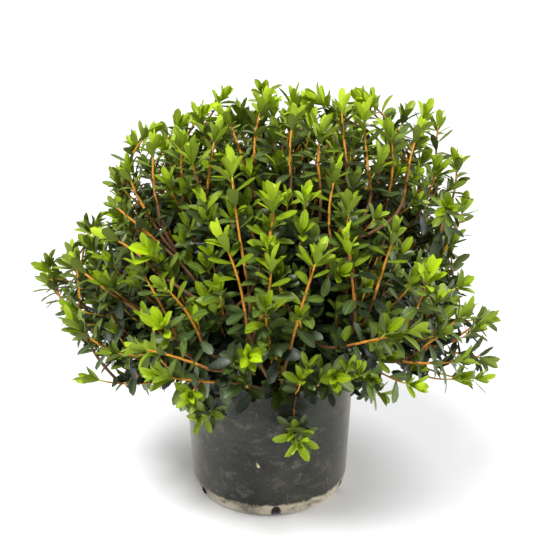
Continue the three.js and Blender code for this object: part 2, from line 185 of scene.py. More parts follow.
# the pot, the trunk and the limbs, with the sizes that the solids have
pot = {
    "height": 0.231,
    "rimRadius": 0.140,
    "footRadius": 0.1318,
    "footHeight": 0.028,
    "baseRadius": 0.1195,
    "wall": 0.0022,
    "floor": 0.003,
    "beadWidth": 0.0014,
    "beadHeight": 0.005,
    "lip": 0.0018,
    "steps": 180,
}
drain = {"count": 6, "width": 0.013, "height": 0.022, "firstAzimuth": -85, "depth": 0.034}
trunk = {
    "foot": Vector((0.007, 0.009, 0.2113)),
    "bend": Vector((0.007, 0.009, 0.235)),
    "top": Vector((0.002, 0.003, 0.264)),
    "flare": 0.021,
    "radius": 0.014,
    "topRadius": 0.0115,
}
handle = 0.45  # how far from its end a curve's bend lies, as a share of its length
joint = 0.0003  # the gap where one piece of wood takes over from another
limb = {"radius": 0.0064, "tipRadius": 0.0042, "lowest": 0.232, "highest": 0.246}
bough = {"radius": 0.0042, "tipRadius": 0.0032, "skirtFrom": 0.38, "upperFrom": 0.6, "overRim": 0.028}
stem = {"radius": 0.003, "tipRadius": 0.0024, "share": 0.48, "shortest": 0.040, "leaf": 0.080}
shoots = {
    "count": 102,
    "lowest": -11,
    "uneven": 0.08,
    "radius": 0.0026,
    "rise": 0.62,
    "sharpest": 70,
    "lean": 50,
    "leafRun": 0.072,
    "seed": 71,
}
# shoots that hang: direction and distance of their leaf tips, how far they turn up, and their leaves' size
hanging = [
    {"azimuth": -76, "height": -38, "reach": 0.237, "rise": -1.5, "leaves": 0.55, "tip": "bright"},
    {"azimuth": -117, "height": -25, "reach": 0.226, "rise": -0.5, "leaves": 0.55},
    {"azimuth": -32, "height": -26, "reach": 0.222, "rise": -0.4, "leaves": 0.55},
    {"azimuth": -158, "height": -20, "reach": 0.252, "rise": 0.2, "leaves": 0.75},
]
# shoots that reach the furthest out, as azimuth and height in degrees
furthest = [(-10, -15), (-9, 1), (-171, 14), (-12, 54)]

heart = crown["heart"]
trunkCurve = (trunk["foot"], trunk["bend"], trunk["top"])


def trunkRadius(share):
    flare = (trunk["flare"] - trunk["radius"]) * math.exp(-share * 7)
    return mix(trunk["radius"], trunk["topRadius"], share) + flare


def massEntry(direction):
    # where a bough ends and its mass begins, well above the pot's rim
    inward = crown["bare"] - 0.004
    lowest = (pot["height"] + bough["overRim"] - heart.z) / inward
    return heart + Vector((direction.x, direction.y, max(direction.z, lowest))).normalized() * inward


def limbPlan():
    limbs, masses = [], []
    for i, sector in enumerate(sectors):
        azimuth = sector["azimuth"]
        place = {}
        for part in ("skirt", "shoulder", "upper"):
            turn, height = sector[part]
            place[part] = facing(azimuth + turn, height)
        height = limb["highest"] if i % 2 else limb["lowest"]
        rise = (height - trunk["foot"].z) / (trunk["top"].z - trunk["foot"].z)
        main = bent(pointOn(trunkCurve, rise), facing(azimuth, 34), 0.058, massEntry(place["shoulder"]))
        low, high = pointOn(main, bough["skirtFrom"]), pointOn(main, bough["upperFrom"])
        toSkirt = bent(low, facing(azimuth + 2 * sector["skirt"][0], 14), 0.042, massEntry(place["skirt"]))
        toUpper = bent(high, facing(azimuth, 70), 0.046, massEntry(place["upper"]))
        name = sector["name"]
        limbs.append((f"limb_{name}", main, limb))
        limbs.append((f"bough_{name}_skirt", toSkirt, bough))
        limbs.append((f"bough_{name}_upper", toUpper, bough))
        for part, carrier in (("shoulder", main), ("skirt", toSkirt), ("upper", toUpper)):
            masses.append({"name": f"foliage_{name}_{part}", "axis": place[part], "carrier": carrier})
    axis = facing(topMass["azimuth"], topMass["height"])
    leaving = tangentOn(trunkCurve, 1)
    leader = bent(trunk["top"] + leaving * joint, leaving, 0.060, massEntry(axis))
    limbs.append(("limb_leader", leader, limb))
    masses.append({"name": "foliage_top", "axis": axis, "carrier": leader})
    return limbs, masses


def clearOfPot(point, margin):
    level = math.hypot(point.x, point.y)
    return level > pot["rimRadius"] + pot["beadWidth"] + margin or point.z > pot["height"] + margin


def fits(points, mass, masses, margin):
    # true where every point is in the mass's own space
    for point in points:
        out = point - heart
        if not clearOfPot(point, margin) or out.length < crown["bare"] + margin:
            return False
        for other in masses:
            apart = mass["axis"] - other["axis"]
            if other is not mass and out.dot(apart) / apart.length <= margin:
                return False
    return True


def shootEnds():
    draw = seeded(shoots["seed"])
    lowest = math.sin(math.radians(shoots["lowest"]))
    ends = []
    usual = {"rise": shoots["rise"], "leaves": 1}
    for i in range(shoots["count"]):
        direction = spiral(i, shoots["count"], lowest, i * golden)
        reach = reachAlong(direction) * (1 - shoots["uneven"] * draw())
        if heightOverHem(direction) > crown["hemTo"]:
            ends.append({"direction": direction, "reach": reach, **usual})
    for azimuth, height in furthest:
        direction = facing(azimuth, height)
        ends.append({"direction": direction, "reach": reachAlong(direction), "far": True, **usual})
    return ends + [{"direction": facing(one["azimuth"], one["height"]), **one} for one in hanging]


def towards(start, direction, reach, rise, mostBend=180):
    # a curve that turns up to reach its end
    arriving = (direction + up * rise).normalized()
    end = heart + direction * reach
    straight = (end - start).normalized()
    through = math.degrees(straight.angle(arriving))
    if through > mostBend:
        arriving = straight.slerp(arriving, mostBend / through)
    return (start, end - arriving * ((end - start).length * handle), end)


def mainShoot(start, end, ease):
    arriving = (end["direction"] + up * end["rise"] * ease).normalized()
    lean = max(math.radians(shoots["lean"]) - arriving.angle(end["direction"]), 0)
    leavesOut = shoots["leafRun"] * end["leaves"] * math.cos(lean)
    return towards(start, end["direction"], end["reach"] - leavesOut, end["rise"] * ease)


def growMainShoots(masses):
    for mass in masses:
        mass["ends"] = []
    for end in shootEnds():
        max(masses, key=lambda mass: mass["axis"].dot(end["direction"]))["ends"].append(end)
    stems, grown = [], []
    for mass in masses:
        leaving = tangentOn(mass["carrier"], 1)
        start = mass["carrier"][2] + leaving * joint
        out = mix(crown["bare"], reachAlong(mass["axis"]) - stem["leaf"] * 0.7, stem["share"])
        stemEnd = heart + mass["axis"] * max(out, crown["bare"] + stem["shortest"])
        stemCurve = bent(start, leaving, (stemEnd - start).length * 0.4, stemEnd)
        stems.append(stemCurve)
        outwards = sorted(mass["ends"], key=lambda end: end["direction"].dot(mass["axis"]))
        for rank, end in enumerate(outwards):
            start = onLimb(stemCurve, mix(0.2, 0.95, (rank + 1) / len(outwards)), 3)
            for ease in (1, 0.5, 0.2, -0.2):
                curve = mainShoot(start, end, ease)
                through = math.degrees(tangentOn(curve, 0).angle(tangentOn(curve, 1)))
                run = [onLimb(curve, part, 2) for part in (0.15, 0.3, 0.4, 0.5, 0.6, 0.7, 0.85, 1)]
                if through < shoots["sharpest"] and fits(run, mass, masses, shoots["radius"] + 0.0015):
                    share = end["reach"] / reachAlong(end["direction"])
                    grown.append({"curve": curve, **end, "share": share, "kind": "main"})
                    break
    return stems, grown


# the finer shoots that branch from the main ones
sprays = {
    "count": 600,
    "innerCount": 400,  # short shoots deeper in, which close the plant's middle
    "innerShare": (0.5, 0.74),
    "lowest": -15,
    "overHem": 6,  # degrees that the fine shoots stay above the lowest leaves
    "longest": 0.915,  # the shares of the reach, short of the main shoots
    "shortest": 0.72,
    "length": (0.085, 0.125),  # of a shoot at the side and at the top
    "branchAt": (0.15, 0.3, 0.45, 0.6, 0.75),
    "leafRun": 0.030,
    "proudRun": 0.018,
    "proudShortest": 0.085,
    "bow": 0.024,
    "curl": 0.024,
    "sideCurls": [(0.82, 34), (0.68, -30)],  # places on a hanging shoot, and the turn of the side shoot there
    "clearance": 0.011,  # around the stem of a proud shoot
    "rise": (0.5, 1.9),
    "steep": (0.6, 1.3),  # how much less or more than that a fine shoot may rise
    "choices": 3,  # a fine shoot starts at one of this many best places
    "mostBend": 26,  # degrees that a shoot turns through at its tip
    "seed": 29,
    "innerSeed": 43,
    "radius": 0.0015,
    "tipRadius": 0.0011,
    "mainRadius": 0.0020,
    "mainTipRadius": 0.0013,
}


def uprightRise(direction):
    # the lower a shoot is, the more it turns up, so that its end stands as steeply as those above
    return mix(*sprays["rise"], clamp(1 - direction.z, 0, 1))


def extendMain(shoot):
    # the solid's shoot ends under its large leaves, and the fine one goes on through them
    if shoot["leaves"] < 1:
        return shoot["curve"]
    reach = shoot["reach"] - sprays["leafRun"]
    rise = uprightRise(shoot["direction"])
    return towards(shoot["curve"][0], shoot["direction"], reach, rise, sprays["mostBend"])


def startsOn(mains, stems):
    # the places along the stems and main shoots that a finer shoot may branch from
    curves = [main["curve"] for main in mains if main["leaves"] == 1] + stems
    return np.array([pointOn(curve, share) for curve in curves for share in sprays["branchAt"]])


def bestStart(places, end, climb, length, which):
    # the places that let a shoot of about that length rise most evenly to its end
    runs = np.array(end) - places
    lengths = np.linalg.norm(runs, axis=1)
    level = np.clip(runs @ np.array(climb) / lengths, -1, 1)
    cost = np.degrees(np.arccos(level)) / 20 + np.abs(lengths - length) / 0.04
    return Vector(places[np.argsort(cost)[which]])


def newTwig(curve, direction, share, kind):
    return {"curve": curve, "direction": direction, "share": share, "leaves": 1, "kind": kind}


def growSprays(mains, stems, count, sharesFrom, seed):
    draw = seeded(seed)
    lowest = math.sin(math.radians(sprays["lowest"]))
    places = startsOn(mains, stems)
    grown = []
    for i in range(count):
        unit = spiral(i, count, lowest, i * golden + seed + 0.5 * (draw() - 0.5))
        direction, z = unit.normalized(), mix(1, lowest, (i + 0.5) / count)
        share, steep = sharesFrom(draw()), mix(*sprays["steep"], draw())
        which = int(draw() * sprays["choices"])
        if math.degrees(math.asin(z)) < lowestLeaf(heart + direction) + sprays["overHem"]:
            continue
        rise = uprightRise(direction) * steep
        reach = max(reachAlong(direction) * share - sprays["leafRun"], crown["bare"])
        climb = (direction + up * rise).normalized()
        start = bestStart(places, heart + direction * reach, climb, mix(*sprays["length"], z), which)
        for ease in (1, 0.5, 0):
            curve = towards(start, direction, reach, rise * ease, sprays["mostBend"])
            clear = all(clearOfPot(pointOn(curve, k / 6), 0.002) for k in range(1, 7))
            if clear and (curve[2] - curve[0]).length > 0.03:
                grown.append(newTwig(curve, direction, share, "fine"))
                break
    return grown


# long straight shoots that stand proud of the rest: where each ends and where it leaves the leaves around it,
# both as azimuth and height in degrees and a share of the crown's reach
proud = [
    ((-104, 54, 0.95), (-95, 27, 0.84)),
    ((-102, 36, 0.96), (-95, 17, 0.84)),
    ((-77, 32, 0.97), (-84, 11, 0.80)),
    ((-65, 42, 0.96), (-65, 34, 0.86)),
    ((-64, 52, 0.95), (-70, 38, 0.84)),
    ((-67, 35, 0.93), (-66, 23, 0.82)),
    ((-24, 53, 0.97), (-39, 43, 0.86)),
    ((-40, 62, 0.97), (-49, 48, 0.84)),
    ((-44, 67, 0.98), (-51, 59, 0.86)),
    ((-74, 68, 0.98), (-79, 58, 0.86)),
    ((-94, 74, 0.99), (-96, 67, 0.86)),
    ((-121, 70, 0.98), (-109, 65, 0.86)),
    ((-119, 65, 0.96), (-118, 60, 0.86)),
    ((-144, 56, 0.97), (-136, 48, 0.86)),
    ((-132, 59, 0.96), (-131, 56, 0.86)),
    ((-147, 48, 0.98), (-136, 42, 0.84)),
    ((-138, 32, 0.98), (-123, 28, 0.86)),
    ((-142, 39, 0.98), (-133, 37, 0.86)),
    ((-115, 24, 0.97), (-107, 11, 0.80)),
    ((-124, 27, 0.96), (-113, 13, 0.84)),
    ((-88, 46, 0.95), (-91, 35, 0.86)),
    ((-89, 31, 0.96), (-91, 24, 0.86)),
    ((-90, 21, 0.96), (-88, 11, 0.80)),
    ((-53, 35, 0.97), (-60, 21, 0.82)),
    ((-47, 23, 0.98), (-47, 18, 0.86)),
    ((-56, 13, 0.98), (-65, 11, 0.82)),
    ((-37, 12, 0.99), (-44, 6, 0.84)),
    ((-38, 1, 0.99), (-48, 2, 0.82)),
    ((-119, 10, 0.98), (-104, 6, 0.84)),
    ((-113, 5, 0.98), (-108, 3, 0.84)),
    ((-30, 36, 0.98), (-22, 32, 0.86)),
    ((-38, 55, 0.97), (-40, 50, 0.86)),
    ((-61, 64, 0.96), (-64, 59, 0.86)),
    ((-29, 44, 0.98), (-26, 41, 0.84)),
    ((-148, 23, 0.99), (-138, 20, 0.86)),
    ((-140, 10, 0.99), (-135, 6, 0.84)),
    ((-123, 56, 0.95), (-120, 54, 0.84)),
    ((101, 82, 1.0), (95, 70, 0.86)),
    ((146, 75, 1.0), (146, 64, 0.86)),
    ((-3, 50, 1.0), (-12, 42, 0.86)),
    ((0, 40, 1.01), (-8, 31, 0.86)),
    ((-2, 30, 1.0), (-10, 21, 0.86)),
    ((-4, -1, 0.99), (-12, -2, 0.84)),
    ((-6, -11, 0.97), (-12, -9, 0.82)),
    ((-174, 15, 0.99), (-168, 8, 0.86)),
    ((-176, 9, 0.98), (-170, 2, 0.84)),
    ((-163, 22, 1.0), (-158, 15, 0.86)),
]
# the ones that ring the back, by the same habit
proudBack = {"count": 30, "lowest": 4, "turn": 16, "drop": 16, "share": (0.90, 0.97), "seed": 17}


def growProud(mains, stems):
    draw = seeded(proudBack["seed"])
    plan = list(proud)
    for i in range(proudBack["count"]):
        azimuth = mix(-8, 188, (i * 0.618034 + 0.2 * draw()) % 1)
        height = mix(proudBack["lowest"], 78, draw())
        turn, drop = proudBack["turn"] * (draw() - 0.5), proudBack["drop"] * mix(0.4, 1, draw())
        share = mix(*proudBack["share"], draw())
        plan.append(((azimuth, height, share), (azimuth + turn, max(height - drop, 2), 0.84)))
    places = startsOn(mains, stems)
    carriers, grown = [], []
    for (azimuth, height, share), (fromAzimuth, fromHeight, fromShare) in plan:
        direction, below = facing(azimuth, height), facing(fromAzimuth, fromHeight)
        end = heart + direction * (reachAlong(direction) * share - sprays["proudRun"])
        start = heart + below * reachAlong(below) * fromShare
        if (end - start).length < sprays["proudShortest"]:
            start = end + (start - end).normalized() * sprays["proudShortest"]
        along = (end - start).normalized()
        root = bestStart(places, start, (along + below).normalized(), 0.09, 0)
        carriers.append((root, start - along * (start - root).length * handle, start))
        aside = Vector((draw() - 0.5, draw() - 0.5, draw() - 0.5)) * sprays["bow"]
        bow = (end + start) / 2 + below * 0.006 + aside
        grown.append(newTwig((start, bow, end), direction, 1, "proud"))
    return carriers, grown


def curlUp(shoot, share, turn, kind):
    # a hanging shoot's tip, or a side shoot on it, turns outwards again and carries its leaves there
    root = pointOn(shoot["curve"], share)
    falling = tangentOn(shoot["curve"], share)
    out = Matrix.Rotation(math.radians(turn), 3, "Z") @ Vector((root.x, root.y, 0)).normalized()
    tip = root + (falling * 0.7 + out * 0.75) * sprays["curl"]
    curve = (root, root + falling * 0.5 * sprays["curl"], tip)
    return newTwig(curve, shoot["direction"], 1, kind)


# leaves
leafForm = {
    "rows": (0, 0.28, 0.6, 0.87, 1),  # places along a blade
    "halfWidths": (0.06, 0.33, 0.5, 0.38, 0.08),
    "plainTints": ("Shade",),
    "plainRows": (0, 0.2, 0.6, 0.9, 1),  # the shaded leaves have no rib and fewer faces
    "plainWidths": (0.05, 0.26, 0.5, 0.34, 0.08),
    "rib": 0.07,
    "thickness": 0.012,
}
leafStyles = [
    {"fold": 0.16, "bend": -0.06},
    {"fold": 0.12, "bend": 0.07},
    {"fold": 0.21, "bend": -0.16},
    {"fold": 0.08, "bend": -0.12},
    {"fold": 0.13, "bend": -0.24},
    {"fold": 0.04, "bend": 0.04},
]
leafPlan = {
    # how many leaves of each kind a shoot has, their size, how far its whorl spreads and how fresh it is
    "fine": {"buds": 3, "whorl": 6, "below": 10, "size": 0.98, "lean": (12, 58), "fresh": (0.38, 0.82)},
    "main": {"buds": 3, "whorl": 7, "below": 8, "size": 1, "lean": (12, 52), "fresh": (0.46, 0.88)},
    "proud": {"buds": 5, "whorl": 9, "below": 13, "size": 1, "lean": (8, 60), "fresh": (0.54, 0.96)},
    "hanging": {"buds": 0, "whorl": 0, "below": 12, "size": 0.95, "lean": (30, 60), "fresh": (0.38, 0.5)},
    "bright": {"buds": 6, "whorl": 11, "below": 2, "size": 1.12, "lean": (30, 96), "fresh": (1, 1.1)},
    "curl": {"buds": 5, "whorl": 9, "below": 3, "size": 1.1, "lean": (24, 100), "fresh": (0.68, 0.84)},
    "side": {"buds": 2, "whorl": 6, "below": 3, "size": 1.1, "lean": (40, 96), "fresh": (0.40, 0.62)},
    "budLength": (0.009, 0.016),
    "whorlLength": (0.023, 0.036),
    "belowLength": (0.027, 0.037),
    "run": 0.125,  # the leafy length of a shoot
    "slim": (0.32, 0.48),  # width by length, of an upright and of a level leaf
    "levelFrom": 50,  # a leaf that leans further out than this has one of the flatter forms
    "lowest": -15,  # degrees under the horizon, and where the leaves end higher than that
    "raised": [(-95, 6, 45), (-30, 8, 28), (-148, 3, 30)],
    "underHem": 5,  # further down for the leaves of proud shoots
    "inner": 0.34,  # how much fresher a whorl's inner leaves are than its outer ones
    "unevenMood": 0.16,  # how much the freshness of whole shoots varies
    "olderAndShadedInside": 1.1,  # how much older and darker the leaves are on shoots that end short of the outline; the darkening is painted shade for the plant's inside
    "byHeight": 0.3,  # how much older they are on low shoots, and fresher on high ones
    "toLight": 0.8,  # how far the lower leaves turn their faces to the light
    "seed": 5,
}


def heightOf(point):
    return math.degrees(math.asin((point - heart).normalized().z))


def lowestLeaf(point):
    azimuth, height = azimuthOf(point), leafPlan["lowest"]
    for place, raised, width in leafPlan["raised"]:
        height += raised * bellAround(azimuth, place, width)
    return height


def toMesh(name, shape):
    mesh = bpy.data.meshes.new(name)
    shape.to_mesh(mesh)
    shape.free()
    return mesh


def makeLeafTemplate(style, plain):
    shape = bmesh.new()
    rows = leafForm["plainRows" if plain else "rows"]
    widths = leafForm["plainWidths" if plain else "halfWidths"]
    rib = leafForm["rib"] * 2
    columns = (-1, 0, 1) if plain else (-1, -rib, rib, 1)
    bmesh.ops.create_grid(shape, x_segments=len(columns) - 1, y_segments=len(rows) - 1, size=0.5)
    for face in shape.faces:
        face.smooth = True
        face.material_index = 1 if abs(face.calc_center_median().x) < 0.1 else 0
    for vert in shape.verts:
        row = round((vert.co.y + 0.5) * (len(rows) - 1))
        across = columns[round((vert.co.x + 0.5) * (len(columns) - 1))] * widths[row]
        along = rows[row]
        vert.co = (across, along, style["fold"] * abs(across) + style["bend"] * along**2)
    edge = {vert for vert in shape.verts if vert.is_boundary}
    copy = bmesh.ops.duplicate(shape, geom=shape.verts[:] + shape.edges[:] + shape.faces[:])
    below = [item for item in copy["geom"] if isinstance(item, bmesh.types.BMFace)]
    bmesh.ops.reverse_faces(shape, faces=below)
    for face in below:
        face.material_index = 2
    middle = [item for item in copy["geom"] if isinstance(item, bmesh.types.BMVert) and not item.is_boundary]
    bmesh.ops.translate(shape, verts=middle, vec=(0, 0, -leafForm["thickness"]))
    for vert in edge:
        for link in vert.link_edges:
            if link.is_boundary:
                link.smooth = False
    bmesh.ops.remove_doubles(shape, verts=shape.verts[:], dist=1e-6)
    for link in shape.edges:
        kinds = {face.material_index == 2 for face in link.link_faces}
        link.smooth = len(kinds) == 1
    return toMesh("leafTemplate", shape)


def makeTubeTemplate(sides, steps, kinds):
    # a tube along Z from 0 to 1; kinds gives the material of each stretch by its share
    shape = bmesh.new()
    bmesh.ops.create_grid(shape, x_segments=sides, y_segments=steps, size=0.5)
    for face in shape.faces:
        share = face.calc_center_median().y + 0.5
        face.smooth = True
        face.material_index = sum(share > limit for limit in kinds)
    for vert in shape.verts:
        spin = (vert.co.x + 0.5) * math.tau
        vert.co = (math.cos(spin), math.sin(spin), vert.co.y + 0.5)
    bmesh.ops.remove_doubles(shape, verts=shape.verts[:], dist=1e-6)
    rim = [edge for edge in shape.edges if edge.is_boundary]
    bmesh.ops.holes_fill(shape, edges=rim, sides=sides)
    for face in shape.faces:
        if len(face.verts) > 4:
            face.material_index = 0 if face.calc_center_median().z < 0.5 else len(kinds)
    bmesh.ops.triangulate(shape, faces=[face for face in shape.faces if len(face.verts) > 4])
    bmesh.ops.recalc_face_normals(shape, faces=shape.faces[:])
    return toMesh("tubeTemplate", shape)


def addObject(name, data):
    piece = bpy.data.objects.new(name, data)
    bpy.context.collection.objects.link(piece)
    return piece


def readMesh(mesh, field, collection, width, kind=np.int32):
    values = np.zeros(len(getattr(mesh, collection)) * width, kind)
    getattr(mesh, collection).foreach_get(field, values)
    return values.reshape(-1, width) if width > 1 else values


def stamp(name, batches, materials):
    # one mesh of many copies: each batch is a template and the places of its copies' points
    parts = {"points": [], "edges": [], "sharp": [], "corners": [], "borders": [], "starts": [], "kinds": []}
    points = edges = corners = 0
    for template, places in batches:
        copies, count = places.shape[0], places.shape[1]
        turn = np.arange(copies)[:, None]
        pairs = readMesh(template, "vertices", "edges", 2)
        vertexIndex = readMesh(template, "vertex_index", "loops", 1)
        edgeIndex = readMesh(template, "edge_index", "loops", 1)
        starts = readMesh(template, "loop_start", "polygons", 1)
        kinds = readMesh(template, "material_index", "polygons", 1)
        sharp = readMesh(template, "use_edge_sharp", "edges", 1, bool)
        parts["points"].append(places.reshape(-1, 3))
        parts["edges"].append((pairs[None] + points + turn[:, :, None] * count).reshape(-1, 2))
        parts["sharp"].append(np.tile(sharp, copies))
        parts["corners"].append((vertexIndex[None] + points + turn * count).ravel())
        parts["borders"].append((edgeIndex[None] + edges + turn * len(pairs)).ravel())
        parts["starts"].append((starts[None] + corners + turn * len(vertexIndex)).ravel())
        parts["kinds"].append(np.tile(kinds, copies))
        points += copies * count
        edges += copies * len(pairs)
        corners += copies * len(vertexIndex)
    data = {key: np.concatenate(values) for key, values in parts.items()}
    mesh = bpy.data.meshes.new(name)
    mesh.vertices.add(points)
    mesh.vertices.foreach_set("co", data["points"].astype(np.float32).ravel())
    mesh.edges.add(edges)
    mesh.edges.foreach_set("vertices", data["edges"].astype(np.int32).ravel())
    mesh.loops.add(corners)
    mesh.loops.foreach_set("vertex_index", data["corners"].astype(np.int32))
    mesh.loops.foreach_set("edge_index", data["borders"].astype(np.int32))
    mesh.polygons.add(len(data["starts"]))
    mesh.polygons.foreach_set("loop_start", data["starts"].astype(np.int32))
    mesh.polygons.foreach_set("material_index", data["kinds"].astype(np.int32))
    mesh.update()
    mesh.edges.foreach_set("use_edge_sharp", data["sharp"])
    for material in materials:
        mesh.materials.append(material)
    return addObject(name, mesh)


def leafPlaces(template, leaves):
    shape = readMesh(template, "co", "vertices", 3, np.float32)
    frames = np.array([[leaf["side"], leaf["along"], leaf["over"], leaf["root"]] for leaf in leaves])
    padded = np.concatenate([shape, np.ones((len(shape), 1))], axis=1)
    return np.einsum("vk,nkx->nvx", padded, frames)


def tubePlaces(template, tubes):
    # each tube is a curve and a function that gives its radius by the share along it
    shape = readMesh(template, "co", "vertices", 3, np.float32)
    share = shape[:, 2][:, None]
    places = []
    for curve, radius in tubes:
        a, b, c = (np.array(point) for point in curve)
        middle = a * (1 - share) ** 2 + b * 2 * share * (1 - share) + c * share**2
        tangent = (b - a) * (1 - share) + (c - b) * share
        tangent /= np.linalg.norm(tangent, axis=1)[:, None]
        across = np.cross(b - a, c - b)
        if np.linalg.norm(across) < 1e-9:
            across = np.cross(c - a, (0.31, 0.83, 0.47))
        across = across / np.linalg.norm(across)
        other = np.cross(tangent, across[None])  # the way round that makes the faces point outwards
        size = np.array([radius(value) for value in shape[:, 2]])[:, None]
        places.append(middle + size * (shape[:, :1] * across + shape[:, 1:2] * other))
    return np.array(places)


def spreadLeaves(twigs):
    # the leaves of every shoot, each with the freshness that its colour goes by, lowered on the inner shoots
    # as painted shade
    draw = seeded(leafPlan["seed"])
    leaves = []

    def addLeaf(twig, back, lean, spin, length, freshnessAndShade):
        share = clamp(1 - back / twig["length"], 0.02, 1)
        axis = tangentOn(twig["curve"], share)
        along = turned(axis, math.radians(lean), spin)
        light = (up * 0.5 + twig["direction"] * 0.8).normalized()
        over = axis.lerp(light, leafPlan["toLight"] * clamp((lean - 30) / 40, 0, 1))
        over = (over - along * over.dot(along)).normalized()
        side = along.cross(over)
        root = pointOn(twig["curve"], share)
        tip = root + along * length
        width = length * mix(*leafPlan["slim"], clamp(lean / 90, 0, 1) * 0.7 + 0.3 * draw())
        if not clearOfPot(tip, 0.002) or not clearOfPot(root.lerp(tip, 0.5), 0.002):
            return
        hangs = twig["kind"] in ("bright", "curl", "side") or twig["leaves"] < 1 or "far" in twig
        if not hangs and heightOf(tip) < lowestLeaf(tip) - leafPlan["underHem"] * (twig["kind"] == "proud"):
            return
        leaves.append(
            {
                "root": root,
                "side": side * width,
                "along": along * length,
                "over": over * length,
                "freshnessAndShade": freshnessAndShade,
                "kind": twig["kind"],
                "style": int(draw() * 3) + (3 if lean > leafPlan["levelFrom"] else 0),
            }
        )

    for twig in twigs:
        habit = leafPlan["proud" if "far" in twig else twig["kind"] if twig["leaves"] == 1 else "hanging"]
        high = twig["direction"].z
        # shoots that end short of the outline get older leaves and painted shade: darker tints, down to Shade
        mood = leafPlan["unevenMood"] * (draw() - 0.5) - leafPlan["olderAndShadedInside"] * (1 - twig["share"])
        mood += leafPlan["byHeight"] * min(high - 0.3, 0)
        mood += leafPlan["byHeight"] * max(high - 0.6, 0)
        flush = draw() ** 1.5
        vigour = mix(0.84, 1.08, draw()) * habit["size"]
        turn = draw() * math.tau
        for k in range(habit["buds"]):
            length = mix(*leafPlan["budLength"], draw()) * vigour
            addLeaf(twig, 0.001, mix(5, 18, draw()), turn + k * 2.1, length, mix(0.85, 1.1, flush) + mood)
        for k in range(habit["whorl"]):
            outer = (k + draw()) / habit["whorl"]
            lean = mix(*habit["lean"], outer)
            length = mix(*leafPlan["whorlLength"], draw()) * vigour
            own = 0.14 * (draw() - 0.5) - leafPlan["inner"] * (outer - 0.5)
            freshnessAndShade = mix(*habit["fresh"], flush) + own + mood
            addLeaf(twig, 0.001 + 0.0016 * k, lean, turn + 0.7 + k * golden, length, freshnessAndShade)
        run = min(leafPlan["run"], twig["length"] * 0.9)
        for k in range(habit["below"]):
            part = (k + 0.6 + 0.5 * draw()) / habit["below"]
            lean = mix(48, 112, part) + 18 * (draw() - 0.5)
            length = mix(*leafPlan["belowLength"], draw()) * vigour
            freshnessAndShade = mix(habit["fresh"][0] - 0.05, 0.05, part) + 0.14 * (draw() - 0.5) + mood
            addLeaf(twig, 0.012 + run * part, lean, turn + (k + 6) * golden, length, freshnessAndShade)
    return leaves


# materials
def newMaterial(name, colour, roughness):
    material = bpy.data.materials.new(name)
    material.use_nodes = True
    tree = material.node_tree
    shader = tree.nodes["Principled BSDF"]
    shader.inputs["Base Color"].default_value = (*colour, 1)
    shader.inputs["Roughness"].default_value = roughness
    return material, tree, shader


def addNode(tree, kind, settings=None, **values):
    node = tree.nodes.new(kind)
    for field, value in (settings or {}).items():
        setattr(node, field, value)
    for socket, value in values.items():
        node.inputs[socket.replace("_", " ")].default_value = value
    return node


def feed(tree, socket, value):
    # a socket takes the output of another node, or a constant
    if isinstance(value, tuple):
        socket.default_value = (*value, 1)
    elif isinstance(value, (int, float)):
        socket.default_value = value
    else:
        tree.links.new(value, socket)


def addMath(tree, operation, *values):
    node = addNode(tree, "ShaderNodeMath", {"operation": operation})
    for socket, value in zip(node.inputs, values):
        feed(tree, socket, value)
    return node.outputs["Value"]


def makeMottleGroup():
    # uneven patches and fine grain, for surfaces that aren't the same all over
    group = bpy.data.node_groups.new("mottle", "ShaderNodeTree")
    for name, value in (("Scale", 40), ("Grain", 400)):
        group.interface.new_socket(name, in_out="INPUT", socket_type="NodeSocketFloat").default_value = value
    for name in ("Patches", "Relief"):
        group.interface.new_socket(name, in_out="OUTPUT", socket_type="NodeSocketFloat")
    entry, leave = group.nodes.new("NodeGroupInput"), group.nodes.new("NodeGroupOutput")
    place = group.nodes.new("ShaderNodeTexCoord")
    broad = addNode(group, "ShaderNodeTexNoise", Detail=5, Roughness=0.6)
    fine = addNode(group, "ShaderNodeTexNoise", Detail=3, Roughness=0.5)
    for pattern, size in ((broad, "Scale"), (fine, "Grain")):
        feed(group, pattern.inputs["Vector"], place.outputs["Object"])
        feed(group, pattern.inputs["Scale"], entry.outputs[size])
    feed(group, leave.inputs["Patches"], broad.outputs["Fac"])
    relief = addMath(group, "MULTIPLY_ADD", fine.outputs["Fac"], 0.4, broad.outputs["Fac"])
    feed(group, leave.inputs["Relief"], relief)
    return group


mottleGroup = makeMottleGroup()


def addMottle(tree, scale, grain):
    node = tree.nodes.new("ShaderNodeGroup")
    node.node_tree = mottleGroup
    node.inputs["Scale"].default_value = scale
    node.inputs["Grain"].default_value = grain
    return node.outputs["Patches"], node.outputs["Relief"]


def addRange(tree, source, low, high, fromLow=0.3, fromHigh=0.7):
    node = addNode(tree, "ShaderNodeMapRange", From_Min=fromLow, From_Max=fromHigh, To_Min=low, To_Max=high)
    feed(tree, node.inputs["Value"], source)
    return node.outputs["Result"]


def addBump(tree, shader, height, strength, distance):
    bump = addNode(tree, "ShaderNodeBump", Strength=strength, Distance=distance)
    feed(tree, bump.inputs["Height"], height)
    feed(tree, shader.inputs["Normal"], bump.outputs["Normal"])


def mixColours(tree, share, first, second):
    node = addNode(tree, "ShaderNodeMix", {"data_type": "RGBA"})
    feed(tree, node.inputs["Factor"], share)
    feed(tree, node.inputs[6], first)
    feed(tree, node.inputs[7], second)
    return node.outputs[2]


# the surface of leaves and of twigs; the rougher one is, the less it shines
leafSkin = {"scale": 160, "grain": 1400, "smoother": 0.08, "relief": 0.0010, "shine": 0.62, "dulled": 0.8}
twigSkin = {"scale": 220, "grain": 1800, "smoother": 0.1, "relief": 0.0005, "shine": 0.2, "dulled": 0}


